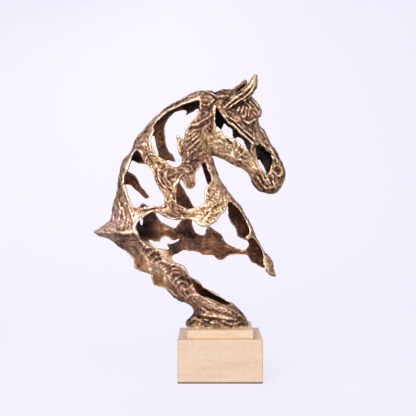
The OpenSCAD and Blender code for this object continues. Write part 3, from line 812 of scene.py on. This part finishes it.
def bronze_piece(bronze, number, name, material):
    """One casting: the welded, worked solid, as far as the middle of its seams."""
    lo, block, part = bronze.parts[number]
    other = np.where(bronze.owner[block] == number, bronze.second[block], bronze.union[block])
    seam = 0.5 * (part - other)
    field = np.maximum(bronze.solid[block], seam)
    points, quads = without_specks(*surface(field, 0.0, lo + FIRST))
    to_corner(points, bronze.solid, seam, lo + FIRST)
    on_skin = np.abs(read(bronze.solid, points, FIRST)) < ON_SKIN * VOXEL
    skin_normal = slope(bronze.solid, points, FIRST)
    normal = np.where(on_skin[:, None], skin_normal, slope(field, points, lo + FIRST))
    quads = facing_out(points, quads, normal)
    mesh = bpy.data.meshes.new(name)
    mesh.from_pydata(points * MM, [], quads.tolist())
    for key, numbers in worn_and_painted_light_values(bronze, points, skin_normal).items():
        mesh.attributes.new(key, "FLOAT", "POINT").data.foreach_set("value", numbers.astype(np.float32))
    mesh.polygons.foreach_set("use_smooth", [True] * len(mesh.polygons))
    mesh.normals_split_custom_set_from_vertices(normal.tolist())
    mesh.materials.append(material)
    piece = bpy.data.objects.new(name + "_cast", mesh)
    bpy.context.scene.collection.objects.link(piece)
    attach(piece, "root")
    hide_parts(name)


def dress(names, material):
    """Gives one material to nodes of the frame that are kept as they are."""
    for name in names:
        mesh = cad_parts[name].data
        mesh.materials.clear()
        mesh.materials.append(material)


bronze = worked_bronze()
bronze_patina_and_painted_light = bronze_material()
for number, name in enumerate(BRONZE_NODES):
    bronze_piece(bronze, number, name, bronze_patina_and_painted_light)
dress(STONE_NODES, stone_material())
dress(FELT_NODES, felt_material())
dress(STEEL_NODES, steel_material())

# ---------------------------------------------------------------- stage, lights and camera, in m
SWEEP_WIDTH, SWEEP_FRONT, SWEEP_BACK = 9.0, -4.0, 2.2
SWEEP_RADIUS, SWEEP_HEIGHT, SWEEP_STEPS = 1.6, 4.0, 24
PALE, GLOW = (0.12, 0.116, 0.124), (0.75, 0.732, 0.84)
AIM = (-0.03, 0.0, 0.32)           # where every lamp points
# Name, place, width and height, watts, and whether the bronze mirrors it
LAMPS = [
    ("key", (-0.7, -1.7, 1.15), (0.9, 0.9), 26, True),
    ("fill", (1.1, -1.6, 0.7), (0.9, 0.9), 9, True),
    ("overhead", (-0.2, -0.5, 1.9), (0.8, 0.6), 2, True),
    ("back", (-0.45, 1.5, 1.85), (1.2, 1.2), 30, False)]
# Light of the room from behind and below, 0, to in front, 1
WORLD_GLOW = [(0.1, (0.22, 0.21, 0.23)), (0.5, (0.18, 0.17, 0.19)), (0.95, (0.90, 0.87, 0.92))]
FRONT_GLOW, UP_GLOW = 0.45, 0.18     # how far facing front and facing up go along that scale
CAMERA_PLACE = (-0.0215, -1.634, 0.3357)
CAMERA_DOWN = 1.03                   # degrees below level
SENSOR, LENS = 36.0, 77.36538        # in mm


def sweep():
    """A pale floor that curves up into a wall behind the object."""
    line = [(SWEEP_FRONT, 0.0)]
    for i in range(SWEEP_STEPS + 1):
        a = math.pi / 2 * i / SWEEP_STEPS
        line.append((SWEEP_BACK - SWEEP_RADIUS * (1 - math.sin(a)), SWEEP_RADIUS * (1 - math.cos(a))))
    line.append((SWEEP_BACK, SWEEP_HEIGHT))
    corners = [(x, y, z) for y, z in line for x in (-SWEEP_WIDTH / 2, SWEEP_WIDTH / 2)]
    faces = [(2 * i, 2 * i + 1, 2 * i + 3, 2 * i + 2) for i in range(len(line) - 1)]
    mesh = bpy.data.meshes.new("sweep")
    mesh.from_pydata(corners, [], faces)
    mesh.polygons.foreach_set("use_smooth", [True] * len(faces))
    made = bpy.data.objects.new("sweep", mesh)
    bpy.context.scene.collection.objects.link(made)
    material, _, shader = node_material("pale_sweep")
    shader.inputs["Base Color"].default_value = (*PALE, 1)
    shader.inputs["Roughness"].default_value = 0.7
    shader.inputs["Specular IOR Level"].default_value = 0.1
    shader.inputs["Emission Color"].default_value = (*GLOW, 1)
    shader.inputs["Emission Strength"].default_value = 1.0
    mesh.materials.append(material)
    made.visible_diffuse = False
    made.visible_glossy = False


def lamp(name, place, size, watts, mirrored):
    light = bpy.data.lights.new(name, "AREA")
    light.shape = "RECTANGLE"
    light.size, light.size_y = size
    light.energy = watts
    made = bpy.data.objects.new(name, light)
    bpy.context.scene.collection.objects.link(made)
    made.location = place
    made.rotation_euler = (Vector(AIM) - Vector(place)).to_track_quat("-Z", "Y").to_euler()
    made.visible_glossy = mirrored


def studio_world():
    """Soft light that is bright in front, dim behind and below."""
    world = bpy.data.worlds.new("studio")
    bpy.context.scene.world = world
    world.use_nodes = True
    tree = world.node_tree
    direction = tree.nodes.new("ShaderNodeTexCoord").outputs["Generated"]
    split = tree.nodes.new("ShaderNodeSeparateXYZ")
    tree.links.new(direction, split.inputs[0])
    front = math_node(tree, "MULTIPLY", split.outputs["Y"], -FRONT_GLOW)
    up = math_node(tree, "MULTIPLY", split.outputs["Z"], UP_GLOW)
    amount = math_node(tree, "ADD", math_node(tree, "ADD", front, up), 0.5)
    glow = ramp(tree, amount, WORLD_GLOW)
    background = tree.nodes["Background"]
    tree.links.new(glow, background.inputs["Color"])
    background.inputs["Strength"].default_value = 1.0


def camera():
    data = bpy.data.cameras.new("camera")
    data.sensor_width = SENSOR
    data.lens = LENS
    made = bpy.data.objects.new("camera", data)
    bpy.context.scene.collection.objects.link(made)
    made.location = CAMERA_PLACE
    made.rotation_euler = (math.radians(90 - CAMERA_DOWN), 0, 0)
    bpy.context.scene.camera = made


sweep()
for values in LAMPS:
    lamp(*values)
studio_world()
camera()
bpy.context.scene.view_settings.view_transform = "Standard"
